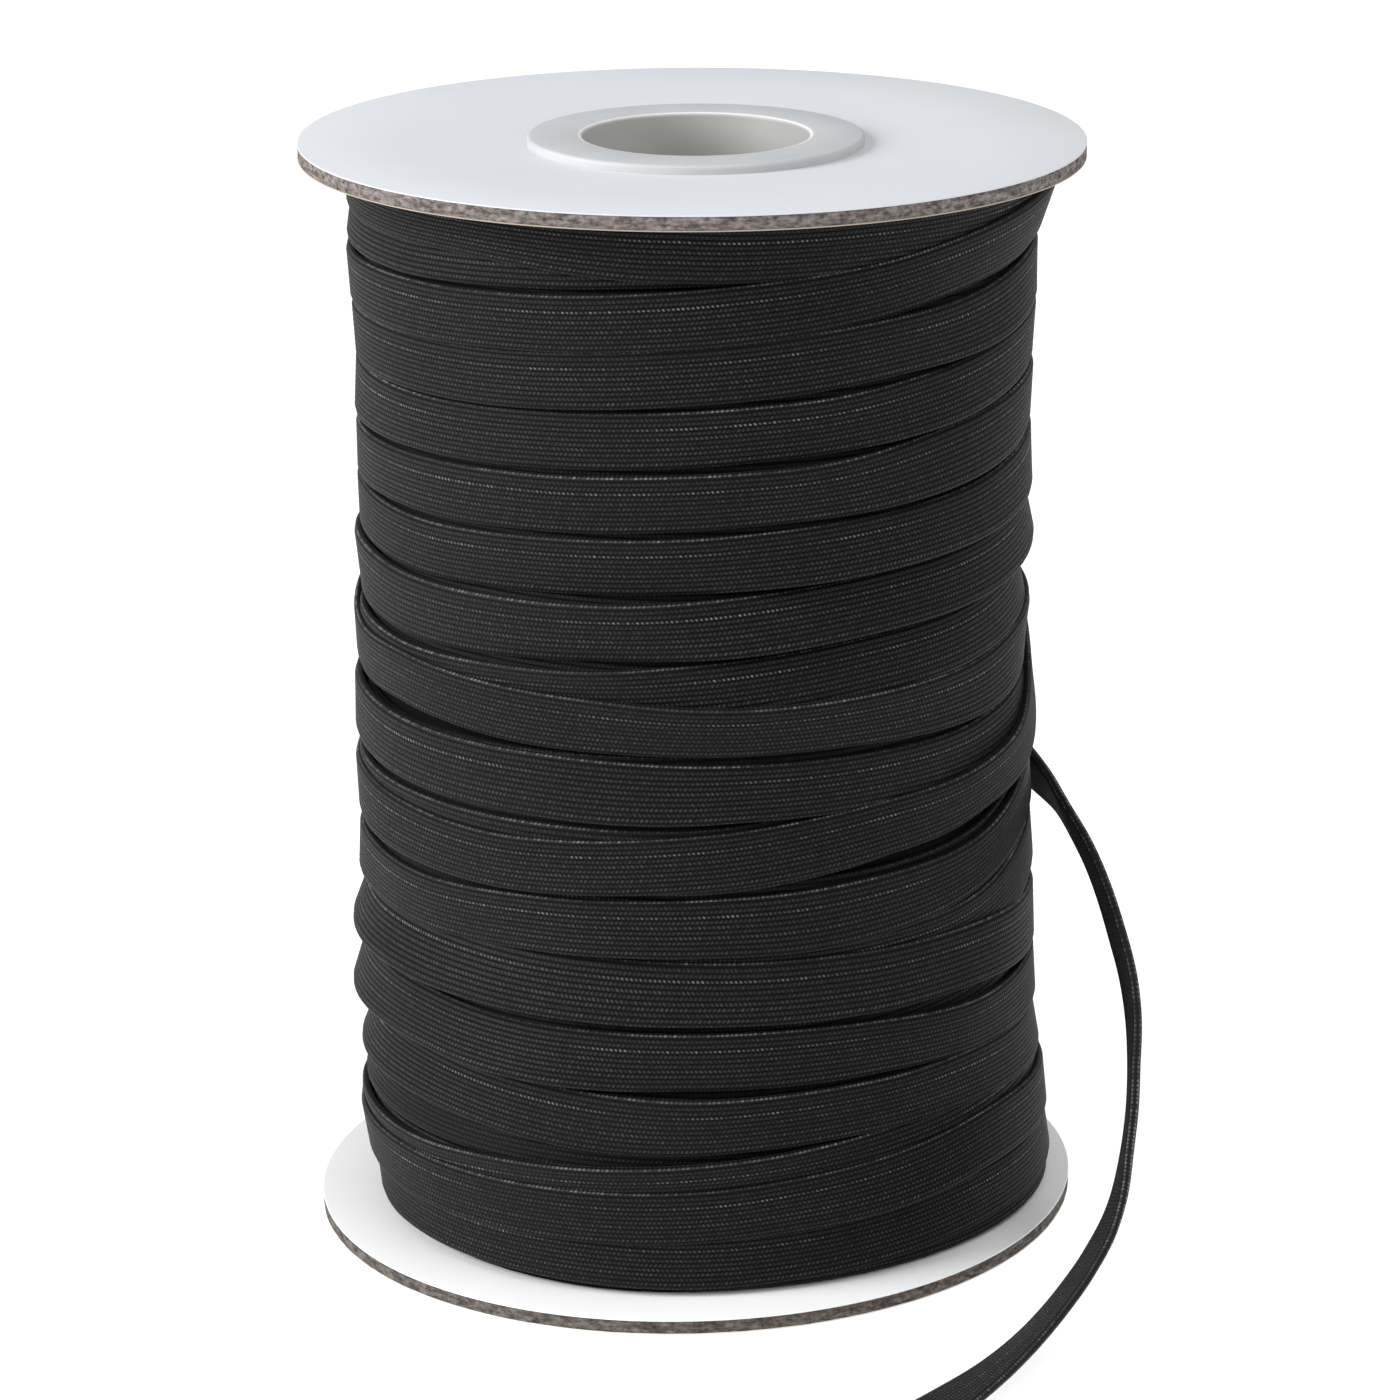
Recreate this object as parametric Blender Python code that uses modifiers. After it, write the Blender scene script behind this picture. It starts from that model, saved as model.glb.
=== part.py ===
"""Roll of flat black elastic: a board and plastic spool, the wound elastic, and its loose end.

Metres, +Z up. The origin is on the spool's axis at the surface it stands on. The front is -Y,
and the loose end leaves the roll at the back right and comes forward round its right side.
"""
import math
from collections import namedtuple

import bmesh
import bpy
import numpy as np
from mathutils import Vector

MM = 0.001

# Spool
BOARD_RADIUS = 37.5 * MM
BOARD_THICKNESS = 1.5 * MM
BOARD_SPACING = 104.3 * MM
LIP_RADIUS = 16.1 * MM
LIP_THICKNESS = 1.2 * MM
LIP_CHAMFER = 0.3 * MM
BORE_RADIUS = 10.8 * MM
SLEEVE_WALL = 1.2 * MM
SLEEVE_LENGTH = 14.0 * MM
TUBE_WALL = 1.6 * MM
SEAT_GAP = 0.3 * MM

# Elastic
BAND_WIDTH = 5.85 * MM
BAND_THICKNESS = 1.0 * MM
ROLL_RADIUS = 32.6 * MM
FRONT_SWELL = 0.3 * MM
GROOVE_DEPTH = 0.9 * MM
EDGE_DROP = 0.2 * MM
GROOVE_WIDTH = 0.5 * MM
LEAST_STRIP = 0.8 * MM

# Heights that follow
LOWER_BOARD_BASE = LIP_THICKNESS + SEAT_GAP
LOWER_BOARD_TOP = LOWER_BOARD_BASE + BOARD_THICKNESS
UPPER_BOARD_BASE = LOWER_BOARD_TOP + BOARD_SPACING
UPPER_BOARD_TOP = UPPER_BOARD_BASE + BOARD_THICKNESS
OVERALL_HEIGHT = UPPER_BOARD_TOP + SEAT_GAP + LIP_THICKNESS

# Radii that follow
SLEEVE_RADIUS = BORE_RADIUS + SLEEVE_WALL
TUBE_INNER_RADIUS = SLEEVE_RADIUS + SEAT_GAP
TUBE_OUTER_RADIUS = TUBE_INNER_RADIUS + TUBE_WALL
ROLL_INNER_RADIUS = TUBE_OUTER_RADIUS + SEAT_GAP

# Facets
BOARD_STEPS = 64
HUB_STEPS = 48
ROLL_COLUMNS = 64
TAIL_STEPS = 44

# Bearings round the roll, in degrees from the front towards the right, of a turn's seven heights
BEARINGS = (80, 55, 30, 0, -30, -55, -80)
SIDE_HEIGHTS = ("far_right", "right", "near_right", "front", "near_left", "left", "far_left")

# The outer layer from the top board down, one row a turn, as it was wound: clockwise seen from
# above, so right to left across the front, and then round the back to the next row's right.
# Each height is that of the turn's upper edge above the lower board, in millimetres.
# The swells say how far a turn stands out from ROLL_RADIUS on either side, and over_next is
# True where a turn's lower edge lies over the next turn.
Turn = namedtuple("Turn", SIDE_HEIGHTS + ("swell_right", "swell_left", "over_next"))
TURNS = (
    Turn(104.5, 104.0, 104.0, 104.1, 105.3, 105.3, 105.5, 1.0, 0.3, False),
    Turn(103.5, 101.6, 99.5, 98.0, 96.9, 96.4, 96.2, 1.4, 0.5, False),
    Turn(96.2, 95.0, 94.1, 92.7, 91.5, 91.1, 90.8, 0.1, 0.2, False),
    Turn(90.3, 89.0, 87.9, 86.9, 86.0, 85.6, 85.6, -0.2, 0.1, False),
    Turn(84.4, 83.3, 82.0, 81.1, 80.3, 79.7, 79.3, -0.3, 0.0, False),
    Turn(78.3, 76.7, 75.9, 75.0, 74.2, 73.7, 73.9, -0.4, 0.1, False),
    Turn(71.8, 70.8, 70.1, 69.2, 68.5, 68.1, 68.3, -0.4, 0.0, False),
    Turn(65.9, 64.8, 64.2, 63.0, 61.9, 61.2, 61.6, -0.4, 0.3, False),
    Turn(61.0, 59.4, 59.4, 59.4, 59.7, 60.3, 60.8, 0.1, 0.5, False),
    Turn(54.6, 53.2, 53.2, 53.3, 53.7, 53.7, 54.0, 0.2, 0.7, False),
    Turn(53.8, 49.6, 48.2, 46.5, 45.3, 45.2, 45.6, 0.5, 0.6, False),
    Turn(45.4, 42.0, 41.0, 40.2, 39.4, 38.6, 38.7, 0.5, 0.5, True),
    Turn(39.2, 36.3, 35.4, 35.0, 35.0, 34.8, 34.0, 0.5, 0.4, False),
    Turn(32.2, 33.3, 33.8, 34.0, 33.4, 32.6, 32.4, 0.7, 0.5, False),
    Turn(25.5, 25.8, 26.7, 27.0, 26.9, 27.3, 27.2, 0.9, 0.7, False),
    Turn(20.1, 20.7, 20.8, 20.7, 20.8, 21.1, 20.7, 1.1, 0.6, True),
    Turn(16.7, 16.2, 15.3, 13.4, 12.5, 11.7, 11.4, 1.6, 0.5, False),
    Turn(13.6, 14.2, 12.8, 11.1, 10.4, 10.0, 9.8, 2.3, 0.7, False),
    Turn(5.1, 5.6, 5.7, 6.2, 6.1, 5.9, 5.5, 2.6, 0.1, False),
)
HEIGHT_PAST_LAST_TURN = 1.3
ROWS_A_TURN = 3

# The loose end, from the back right of the roll to its cut end: the middle of the strip, and
# where its outer face looks, as a bearing from +X towards +Y and a lift above the level
RoutePoint = namedtuple("RoutePoint", "x y z face_bearing face_lift")
TAIL_ROUTE = (
    RoutePoint(16.9, 29.3, 45.8, 60, 0),
    RoutePoint(23.9, 23.9, 45.7, 45, 0),
    RoutePoint(28.7, 17.9, 45.2, 32, 3),
    RoutePoint(31.5, 12.6, 44.4, 25, 10),
    RoutePoint(33.7, 7.0, 43.6, 19, 17),
    RoutePoint(35.5, 1.5, 42.8, 14, 22),
    RoutePoint(36.9, -3.2, 41.3, 11, 22),
    RoutePoint(38.5, -7.0, 39.0, 11.5, 17.5),
    RoutePoint(39.8, -10.2, 36.2, 11, 13),
    RoutePoint(40.9, -12.7, 32.9, 10.5, 9.5),
    RoutePoint(41.9, -14.6, 29.2, 9, 6.5),
    RoutePoint(42.4, -16.2, 25.3, 5, 3),
    RoutePoint(42.4, -17.7, 21.2, -1, -1),
    RoutePoint(42.2, -19.2, 17.2, -3, -5),
    RoutePoint(41.6, -21.1, 13.4, -5, -11),
    RoutePoint(40.6, -23.9, 9.8, -6, -22),
    RoutePoint(38.7, -27.7, 6.9, -7, -36),
    RoutePoint(36.0, -32.4, 4.7, -12, -46),
    RoutePoint(32.6, -38.0, 3.0, -17, -54),
    RoutePoint(28.6, -44.1, 1.85, -20, -65),
    RoutePoint(23.8, -50.6, 1.15, -21, -79),
    RoutePoint(18.9, -56.6, 0.8, -22, -88),
    RoutePoint(14.0, -62.0, 0.65, -22, -90),
)


def clear_scene():
    for old in list(bpy.data.objects):
        bpy.data.objects.remove(old, do_unlink=True)


def finish(name, colour, roughness):
    """A plain Principled finish."""
    material = bpy.data.materials.new(name)
    material.use_nodes = True
    shader = material.node_tree.nodes["Principled BSDF"]
    shader.inputs["Base Color"].default_value = (*colour, 1.0)
    shader.inputs["Roughness"].default_value = roughness
    shader.inputs["Metallic"].default_value = 0.0
    return material


def through(knots, values, at):
    """Height at a place along the winding: a smooth curve through the values at the knots."""
    slopes = np.gradient(values, knots)
    k = int(np.clip(np.searchsorted(knots, at) - 1, 0, len(knots) - 2))
    step = knots[k + 1] - knots[k]
    t = float(np.clip((at - knots[k]) / step, 0.0, 1.0))
    start = values[k] * (1 + 2 * t) * (1 - t) ** 2 + slopes[k] * step * t * (1 - t) ** 2
    end = values[k + 1] * t * t * (3 - 2 * t) + slopes[k + 1] * step * t * t * (t - 1)
    return start + end


def winding_heights():
    """The upper edge's height all along the outer layer, by degrees wound from its start."""
    knots = []
    values = []
    for index, turn in enumerate(TURNS):
        for bearing, name in zip(BEARINGS, SIDE_HEIGHTS):
            knots.append(360.0 * index - bearing)
            values.append(getattr(turn, name) * MM)
    knots.append(360.0 * len(TURNS) - 180.0)
    values.append(HEIGHT_PAST_LAST_TURN * MM)
    return np.array(knots), np.array(values)


def swell(turn, bearing):
    """How far a turn stands out from the roll's radius at a bearing in degrees."""
    side = math.sin(math.radians(bearing))
    reach = (turn.swell_right if side > 0 else turn.swell_left) * MM
    return FRONT_SWELL + (reach - FRONT_SWELL) * side * side


def roll_section(bearing, knots, values):
    """Radius and height of the roll's outer side, top to bottom, at a bearing in degrees.

    Each turn gives its upper edge, its lower edge and the groove below it.
    """
    top = BOARD_SPACING - SEAT_GAP
    bottom = SEAT_GAP
    uppers = []
    ceiling = top - EDGE_DROP
    for index, turn in enumerate(TURNS):
        upper = through(knots, values, 360.0 * index - bearing)
        if index and TURNS[index - 1].over_next:
            upper = min(upper, lower - GROOVE_WIDTH / 2)
        floor = bottom + LEAST_STRIP * (len(TURNS) - index)
        upper = max(min(upper, ceiling), floor)
        lower = upper - BAND_WIDTH
        ceiling = upper - LEAST_STRIP
        uppers.append(upper)
    uppers.append(bottom)
    rows = [(ROLL_RADIUS + swell(TURNS[0], bearing) - GROOVE_DEPTH, top)]
    for turn, upper, following in zip(TURNS, uppers, uppers[1:]):
        radius = ROLL_RADIUS + swell(turn, bearing)
        lower = min(max(upper - BAND_WIDTH, following + GROOVE_WIDTH), upper - EDGE_DROP)
        rows.append((radius - EDGE_DROP, upper))
        rows.append((radius, lower))
        rows.append((radius - GROOVE_DEPTH, (lower + following) / 2))
    rows.append((ROLL_RADIUS - GROOVE_DEPTH, bottom))
    return [(radius, LOWER_BOARD_TOP + height) for radius, height in rows]


def ring_of_vertices(mesh, bearing, section):
    """Vertices of one column: the outer side from the top down, then the inner side upwards."""
    angle = math.radians(bearing)
    outward = Vector((math.sin(angle), -math.cos(angle), 0.0))
    inner = [(ROLL_INNER_RADIUS, section[-1][1]), (ROLL_INNER_RADIUS, section[0][1])]
    return [mesh.verts.new(outward * radius + Vector((0, 0, z))) for radius, z in section + inner]


def join_columns(mesh, ring, following):
    count = len(ring)
    for row in range(count):
        below = (row + 1) % count
        mesh.faces.new((ring[row], ring[below], following[below], following[row]))


def join_at_back(mesh, ring, following):
    """Close the roll at the back, where each turn runs on into the one below it.

    The rows of the last column meet those of the first one turn up, so the two ends of the
    winding, under the top board and on the lower one, each close with a fan.
    """
    last = len(ring) - 3
    for row in range(ROWS_A_TURN, last):
        above = row - ROWS_A_TURN
        mesh.faces.new((ring[row], ring[row + 1], following[above + 1], following[above]))
    for row in range(ROWS_A_TURN):
        mesh.faces.new((ring[row], ring[row + 1], following[0]))
    for row in range(last - ROWS_A_TURN, last):
        mesh.faces.new((ring[last], following[row + 1], following[row]))
    for row in (last, last + 1, last + 2):
        below = (row + 1) % len(ring)
        mesh.faces.new((ring[row], ring[below], following[below], following[row]))


def wound_elastic(collection, material):
    """The wound elastic as one solid: a sleeve whose outer side has each turn of the top layer."""
    knots, values = winding_heights()
    bearings = [-180.0 + 360.0 * column / ROLL_COLUMNS for column in range(ROLL_COLUMNS)]
    shape = bmesh.new()
    rings = [ring_of_vertices(shape, b, roll_section(b, knots, values)) for b in bearings]
    for ring, following in zip(rings, rings[1:]):
        join_columns(shape, ring, following)
    join_at_back(shape, rings[-1], rings[0])
    bmesh.ops.recalc_face_normals(shape, faces=shape.faces)
    mesh = bpy.data.meshes.new("winding")
    shape.to_mesh(mesh)
    shape.free()
    mesh.shade_smooth()
    mesh.set_sharp_from_angle(angle=math.radians(40))
    return place(collection, bpy.data.objects.new("winding", mesh), material)


def place(collection, item, material):
    item.data.materials.append(material)
    collection.objects.link(item)
    return item


def turned(collection, name, profile, steps, material):
    """A turned ring: the closed profile runs down its outer side and up its inner side."""
    mesh = bpy.data.meshes.new(name)
    count = len(profile)
    edges = [(index, (index + 1) % count) for index in range(count)]
    mesh.from_pydata([(radius, 0.0, z) for radius, z in profile], edges, [])
    item = place(collection, bpy.data.objects.new(name, mesh), material)
    screw = item.modifiers.new("turn", "SCREW")
    screw.axis = "Z"
    screw.steps = steps
    screw.render_steps = steps
    screw.use_merge_vertices = True
    screw.merge_threshold = 0.00001
    screw.use_smooth_shade = True
    return item


def board(collection, name, base, material):
    top = base + BOARD_THICKNESS
    profile = [
        (BOARD_RADIUS, top),
        (BOARD_RADIUS, base),
        (TUBE_INNER_RADIUS, base),
        (TUBE_INNER_RADIUS, top),
    ]
    return turned(collection, name, profile, BOARD_STEPS, material)


def hub(collection, name, face, inward, material):
    """A flanged bush: its lip holds the board, and its sleeve goes into the tube.

    face is the height of the lip's outer face, and inward is -1 where the sleeve goes down.
    """
    outline = [
        (LIP_RADIUS - LIP_CHAMFER, 0.0),
        (LIP_RADIUS, LIP_CHAMFER),
        (LIP_RADIUS, LIP_THICKNESS),
        (SLEEVE_RADIUS, LIP_THICKNESS),
        (SLEEVE_RADIUS, LIP_THICKNESS + SLEEVE_LENGTH),
        (BORE_RADIUS, LIP_THICKNESS + SLEEVE_LENGTH),
        (BORE_RADIUS, LIP_CHAMFER),
        (BORE_RADIUS + LIP_CHAMFER, 0.0),
    ]
    profile = [(radius, face + inward * depth) for radius, depth in outline]
    if inward > 0:
        profile.reverse()
    return turned(collection, name, profile, HUB_STEPS, material)


def tube(collection, material):
    top = UPPER_BOARD_BASE - SEAT_GAP
    base = LOWER_BOARD_TOP + SEAT_GAP
    profile = [
        (TUBE_OUTER_RADIUS, top),
        (TUBE_OUTER_RADIUS, base),
        (TUBE_INNER_RADIUS, base),
        (TUBE_INNER_RADIUS, top),
    ]
    return turned(collection, "core_tube", profile, HUB_STEPS, material)


def route_curves():
    """The loose end's route, as knots and one column of values for each of its five measures."""
    points = np.array(TAIL_ROUTE, dtype=float)
    runs = np.linalg.norm(np.diff(points[:, :3], axis=0), axis=1)
    knots = np.concatenate(([0.0], np.cumsum(runs)))
    return knots, points


def outer_face(bearing, lift):
    bearing, lift = math.radians(bearing), math.radians(lift)
    level = math.cos(lift)
    return Vector((level * math.cos(bearing), level * math.sin(bearing), math.sin(lift)))


def strip_stations():
    """Middle, run and outer face of the loose end at even steps along its route."""
    knots, points = route_curves()
    places = np.linspace(0.0, knots[-1], TAIL_STEPS)
    rows = [[through(knots, points[:, c], at) for c in range(5)] for at in places]
    middles = [Vector(row[:3]) * MM for row in rows]
    stations = []
    for index, (middle, row) in enumerate(zip(middles, rows)):
        before = middles[max(index - 1, 0)]
        after = middles[min(index + 1, TAIL_STEPS - 1)]
        stations.append((middle, (after - before).normalized(), outer_face(row[3], row[4])))
    return stations


def tilt_for(run, face):
    """Turn of a strip about its run so that its flat side looks along face.

    An untwisted strip stands with its width as near upright as its run allows.
    """
    upright = (Vector((0, 0, 1)) - run * run.z).normalized()
    sideways = run.cross(upright)
    width = face.cross(run).normalized()
    return math.atan2(width.dot(sideways), width.dot(upright))


def loose_end(collection, material):
    """The free strip as a flat cord: a curve as wide as the band, with rounded selvages."""
    data = bpy.data.curves.new("tail", "CURVE")
    data.dimensions = "3D"
    data.twist_mode = "Z_UP"
    data.fill_mode = "FULL"
    data.use_fill_caps = True
    data.bevel_depth = BAND_THICKNESS / 2
    data.bevel_resolution = 2
    data.extrude = (BAND_WIDTH - BAND_THICKNESS) / 2
    stations = strip_stations()
    spline = data.splines.new("POLY")
    spline.points.add(len(stations) - 1)
    for point, (middle, run, face) in zip(spline.points, stations):
        point.co = (*middle, 1.0)
        point.tilt = tilt_for(run, face)
    return place(collection, bpy.data.objects.new("tail", data), material)


def build():
    clear_scene()
    collection = bpy.data.collections.new("roll_of_elastic")
    bpy.context.scene.collection.children.link(collection)
    white_board = finish("white_board", (0.80, 0.82, 0.86), 0.55)
    plastic = finish("hub_plastic", (0.62, 0.61, 0.58), 0.45)
    grey_board = finish("grey_board", (0.30, 0.26, 0.22), 0.85)
    elastic = finish("black_elastic", (0.012, 0.012, 0.013), 0.6)
    hub(collection, "bottom_hub", 0.0, 1, plastic)
    board(collection, "bottom_board", LOWER_BOARD_BASE, white_board)
    tube(collection, grey_board)
    wound_elastic(collection, elastic)
    board(collection, "top_board", UPPER_BOARD_BASE, white_board)
    hub(collection, "top_hub", OVERALL_HEIGHT, -1, plastic)
    loose_end(collection, elastic)


build()
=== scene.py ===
import math
from collections import namedtuple

import bpy
import numpy as np
from mathutils import Euler, Matrix, Vector


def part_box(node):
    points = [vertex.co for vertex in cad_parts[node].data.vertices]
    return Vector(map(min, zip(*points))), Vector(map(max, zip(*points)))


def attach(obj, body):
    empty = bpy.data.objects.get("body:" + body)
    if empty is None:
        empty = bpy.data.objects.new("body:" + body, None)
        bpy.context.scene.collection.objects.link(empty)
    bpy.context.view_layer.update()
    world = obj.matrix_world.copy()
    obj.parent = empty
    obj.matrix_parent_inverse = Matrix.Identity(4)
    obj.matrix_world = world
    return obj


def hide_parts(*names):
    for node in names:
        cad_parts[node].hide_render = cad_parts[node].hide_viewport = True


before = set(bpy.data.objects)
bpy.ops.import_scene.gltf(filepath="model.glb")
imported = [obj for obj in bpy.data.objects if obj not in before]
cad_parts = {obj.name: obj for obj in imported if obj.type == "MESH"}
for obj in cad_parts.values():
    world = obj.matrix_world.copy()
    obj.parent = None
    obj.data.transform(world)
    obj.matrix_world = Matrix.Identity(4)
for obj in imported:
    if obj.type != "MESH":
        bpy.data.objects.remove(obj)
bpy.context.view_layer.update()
scene = bpy.context.scene


# ----------------------------------------------------------------------
# Camera: stands half a metre in front of the spool and nine centimetres above its upper board, so
# it sees the boards as narrow ellipses. It is turned and rolled by a fraction of a degree.
# ----------------------------------------------------------------------
MM = 0.001
CAMERA_PLACE = Vector((0.0, -494.65, 202.42)) * MM
CAMERA_PITCH = math.radians(16.830)
CAMERA_YAW = math.radians(0.067)
CAMERA_ROLL = math.radians(-0.18)
CAMERA_LENS = 135.36
SENSOR_WIDTH = 36.0

camera_data = bpy.data.cameras.new("camera")
camera_data.lens = CAMERA_LENS
camera_data.sensor_width = SENSOR_WIDTH
camera_data.clip_start = 0.01
camera = bpy.data.objects.new("camera", camera_data)
camera.location = CAMERA_PLACE
level_view = Euler((math.pi / 2 - CAMERA_PITCH, 0.0, -CAMERA_YAW)).to_matrix()
camera.rotation_euler = (level_view @ Matrix.Rotation(CAMERA_ROLL, 3, "Z")).to_euler()
scene.collection.objects.link(camera)
scene.camera = camera


# ----------------------------------------------------------------------
# Loose end: the last stretch of the elastic, a flat band braided from black yarn over rubber
# cores that show as ribs. It leaves the roll at the back right, comes forward round it, turns
# over on its way down and runs along the floor to a plain cut end.
# ----------------------------------------------------------------------
BAND_WIDTH = 5.85
BAND_THICKNESS = 1.0
SELVAGE_RADIUS = 0.5
RIB_PITCH = 0.505
RIB_COUNT = 12
RIB_DEPTH = 0.09
FIRST_RIB = (BAND_WIDTH - (RIB_COUNT - 1) * RIB_PITCH) / 2
STITCH_LENGTH = 0.44
STITCH_SLANT = 0.9
DRIFT_LENGTH = 22.0
DRIFT_APART = 3.7
FUZZ_SCALE = 1100.0
LOOSE_END_STATIONS = 250
# How far along the loose end its painted light comes in, in millimetres
LOOSE_END_LIGHT_RUN = 40.0
SELVAGE_STEPS = (0.03, 0.08)
PLAIN_STEPS = (0.04, 0.16, 0.5)

# Middle of the strip in millimetres, and where its outer face looks: degrees from +X towards +Y,
# and degrees up
RoutePoint = namedtuple("RoutePoint", "x y z face_bearing face_lift")
LOOSE_END_ROUTE = (
    RoutePoint(16.9, 29.3, 45.8, 60, 0),
    RoutePoint(23.9, 23.9, 45.7, 45, 0),
    RoutePoint(28.7, 17.9, 45.2, 32, 3),
    RoutePoint(31.5, 12.6, 44.4, 25, 10),
    RoutePoint(33.7, 7.0, 43.6, 19, 17),
    RoutePoint(35.5, 1.5, 42.8, 14, 22),
    RoutePoint(36.9, -3.2, 41.3, 11, 22),
    RoutePoint(38.5, -7.0, 39.0, 11.5, 17.5),
    RoutePoint(39.8, -10.2, 36.2, 11, 13),
    RoutePoint(40.9, -12.7, 32.9, 10.5, 9.5),
    RoutePoint(41.9, -14.6, 29.2, 9, 6.5),
    RoutePoint(42.4, -16.2, 25.3, 5, 3),
    RoutePoint(42.4, -17.7, 21.2, -1, -1),
    RoutePoint(42.2, -19.2, 17.2, -3, -5),
    RoutePoint(41.6, -21.1, 13.4, -5, -11),
    RoutePoint(40.6, -23.9, 9.8, -6, -22),
    RoutePoint(38.7, -27.7, 6.9, -7, -36),
    RoutePoint(36.0, -32.4, 4.7, -12, -46),
    RoutePoint(32.6, -38.0, 3.0, -17, -54),
    RoutePoint(28.6, -44.1, 1.85, -20, -65),
    RoutePoint(23.8, -50.6, 1.15, -21, -79),
    RoutePoint(18.9, -56.6, 0.8, -22, -88),
    RoutePoint(14.0, -62.0, 0.65, -22, -90),
)


class Yarn:
    """A socket of a node tree. Arithmetic on it adds Math nodes; node() adds any other node."""

    def __init__(self, tree, socket=None):
        self.tree = tree
        self.socket = socket

    def node(self, kind, settings=None, inputs=None, output=0):
        made = self.tree.nodes.new(kind)
        for name, value in (settings or {}).items():
            if name == "stops":
                self.set_stops(made.color_ramp, value)
            else:
                setattr(made, name, value)
        for name, value in (inputs or {}).items():
            if isinstance(name, str):
                socket = [s for s in made.inputs if s.enabled and s.name == name][0]
            else:
                socket = made.inputs[name]
            if isinstance(value, Yarn):
                self.tree.links.new(value.socket, socket)
            else:
                socket.default_value = value
        if isinstance(output, str):
            found = [s for s in made.outputs if s.enabled and s.name == output][0]
        else:
            found = made.outputs[output] if made.outputs else None
        return Yarn(self.tree, found)

    @staticmethod
    def set_stops(ramp, stops):
        while len(ramp.elements) < len(stops):
            ramp.elements.new(1.0)
        for element, (place, colour) in zip(ramp.elements, stops):
            element.position = place
            element.color = colour

    def maths(self, operation, *values):
        return self.node("ShaderNodeMath", {"operation": operation}, dict(enumerate(values)))

    def __add__(self, other):
        return self.maths("ADD", self, other)

    __radd__ = __add__

    def __sub__(self, other):
        return self.maths("SUBTRACT", self, other)

    def __rsub__(self, other):
        return self.maths("SUBTRACT", other, self)

    def __mul__(self, other):
        return self.maths("MULTIPLY", self, other)

    __rmul__ = __mul__

    def __truediv__(self, other):
        return self.maths("DIVIDE", self, other)

    def __pow__(self, other):
        return self.maths("POWER", self, other)

    def floor(self):
        return self.maths("FLOOR", self)

    def fract(self):
        return self.maths("FRACT", self)

    def size(self):
        return self.maths("ABSOLUTE", self)

    def wave(self):
        """0 to 1 and back for each whole step of the value."""
        return self.maths("COSINE", self * (2 * math.pi)) * -0.5 + 0.5

    def place(self):
        """Where on the object a point of the surface is, in metres."""
        return self.node("ShaderNodeTexCoord", output="Object")

    def part(self, axis):
        return self.node("ShaderNodeSeparateXYZ", None, {"Vector": self}, axis)

    def noise(self, scale, detail, roughness=0.5, dimensions="3D"):
        """Cloudy noise read at this place, mostly near one half."""
        return self.node(
            "ShaderNodeTexNoise", {"noise_dimensions": dimensions},
            {"Vector": self, "Scale": scale, "Detail": detail, "Roughness": roughness},
        )

    def bump(self, strength=1.0):
        """The normal of a surface that this raises, in millimetres."""
        inputs = {"Strength": strength, "Distance": MM, "Height": self}
        return self.node("ShaderNodeBump", None, inputs)

    def ramp(self, low, high):
        """Rises softly from 0 at low to 1 at high."""
        return self.node(
            "ShaderNodeMapRange",
            {"interpolation_type": "SMOOTHSTEP"},
            {"Value": self, "From Min": low, "From Max": high},
        )

    def blend(self, first, second):
        """A colour: first where the value is 0, second where it is 1."""
        inputs = {"Factor": self, "A": first, "B": second}
        return self.node("ShaderNodeMix", {"data_type": "RGBA"}, inputs, "Result")


def finish(name, **constants):
    """A material, its Principled shader, and a Yarn to start expressions from."""
    material = bpy.data.materials.new(name)
    material.use_nodes = True
    shader = material.node_tree.nodes["Principled BSDF"]
    for key, value in constants.items():
        shader.inputs[key.replace("_", " ").title().replace("Ior", "IOR")].default_value = value
    return material, shader, Yarn(material.node_tree)


def feed(shader, **links):
    """Links each value to the shader's socket of that name."""
    for key, value in links.items():
        socket = shader.inputs[key.replace("_", " ").title()]
        value.tree.links.new(value.socket, socket)


# How bright the stitches of each rib are painted on either face, from the upper edge down: the
# bright rows are painted highlights, and the inner face is painted lighter as painted light. Then
# in millimetres their height, their length and how far above the middle of the rib they stand
Rib = namedtuple("Rib", "outside inside height length up")
RIBS = (
    Rib(0.86, 0.60, 0.09, 0.21, 0.04),
    Rib(0.16, 0.34, 0.22, 0.13, 0.0),
    Rib(0.12, 0.30, 0.22, 0.13, 0.0),
    Rib(0.98, 0.34, 0.14, 0.13, 0.0),
    Rib(0.18, 0.34, 0.22, 0.13, 0.0),
    Rib(0.42, 0.64, 0.20, 0.13, 0.0),
    Rib(0.16, 0.32, 0.22, 0.13, 0.0),
    Rib(0.44, 0.34, 0.20, 0.13, 0.0),
    Rib(0.38, 0.32, 0.20, 0.13, 0.0),
    Rib(0.12, 0.34, 0.22, 0.13, 0.0),
    Rib(0.46, 0.34, 0.20, 0.13, 0.0),
    Rib(0.32, 0.50, 0.14, 0.15, 0.0),
)
# The darkest yarn colour is also used as painted shade in the grooves between ribs
YARN_DARK_AND_SHADED = (0.0015, 0.0015, 0.0016, 1.0)
YARN_BLACK = (0.0048, 0.0048, 0.0050, 1.0)
# The grey that stitches are painted towards, mostly as painted highlights
STITCH_AND_HIGHLIGHT_GREY = (0.17, 0.17, 0.17, 1.0)


def by_rib(start, rib, name):
    """A value looked up in the table of ribs."""
    values = [getattr(row, name) for row in RIBS]
    stops = [(i / len(RIBS), (v, v, v, 1.0)) for i, v in enumerate(values)]
    found = start.node(
        "ShaderNodeValToRGB", {"stops": stops}, {"Fac": (rib + 0.5) / len(RIBS)}
    )
    found.socket.node.color_ramp.interpolation = "CONSTANT"
    return found


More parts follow.
